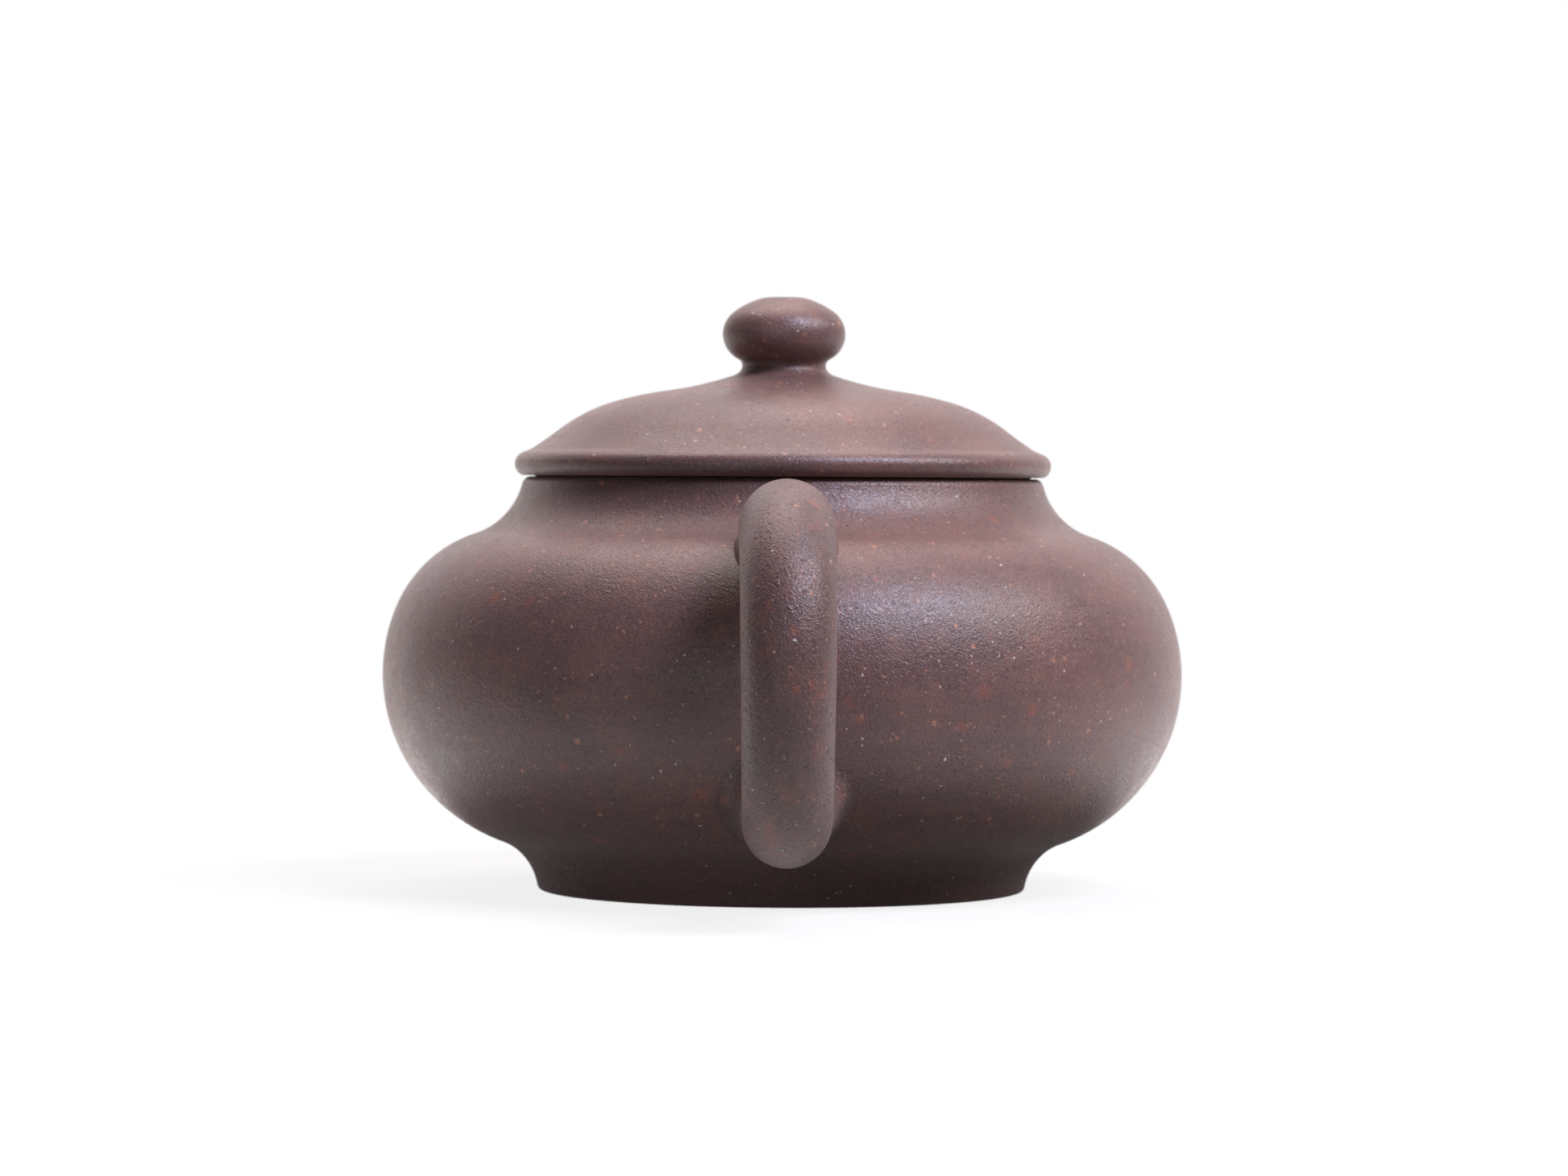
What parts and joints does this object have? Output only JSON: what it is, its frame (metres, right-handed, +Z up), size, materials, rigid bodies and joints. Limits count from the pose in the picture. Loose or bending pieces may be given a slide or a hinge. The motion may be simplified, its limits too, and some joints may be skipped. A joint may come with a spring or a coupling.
{
  "type": "teapot",
  "caption": "Low round-bellied unglazed clay teapot with a press-on domed lid, a bead knob, an ear-shaped handle, a curved spout and a pierced strainer behind it.",
  "frame": {"origin": "centre of the foot ring's resting plane, on the axis of the round body", "axes": "+Z up out of the mouth, +X from the handle towards the spout, so the handle is at -X"},
  "size_m": [0.1598, 0.1, 0.0744],
  "materials": {
    "pot_clay": "unglazed dark purple-brown stoneware, satin, with fine red, ochre and pale grains",
    "lid_clay": "unglazed dark purple-brown stoneware, satin, with fine red, ochre and pale grains",
    "handle_clay": "unglazed dark purple-brown stoneware, satin, with fine red, ochre and pale grains",
    "spout_clay": "unglazed dark purple-brown stoneware, satin, with fine red, ochre and pale grains",
    "slip_clay": "unglazed dark purple-brown stoneware, satin, with fine red, ochre and pale grains"
  },
  "bodies": {
    "pot": {"body_wall": "pot_clay", "base_slab": "pot_clay", "foot_ring": "pot_clay", "shoulder_slab": "pot_clay", "neck_ring": "pot_clay", "mouth_lip": "pot_clay", "handle": "handle_clay", "spout": "spout_clay", "strainer_dome": "pot_clay"},
    "lid_carrier": {"lid_luting_slip": "slip_clay"},
    "lid": {"lid_plate": "lid_clay", "lid_dome": "lid_clay", "lid_flange": "lid_clay", "knob": "lid_clay"}
  },
  "joints": [
    {"name": "lid_lift", "type": "slide", "parent": "pot", "child": "lid_carrier", "axis": [0, 0, 1], "range_m": [0, 0.035]},
    {"name": "lid_turn", "type": "hinge", "parent": "lid_carrier", "child": "lid", "pos_m": [0, 0, 0.0516], "axis": [0, 0, 1], "continuous": true}
  ]
}
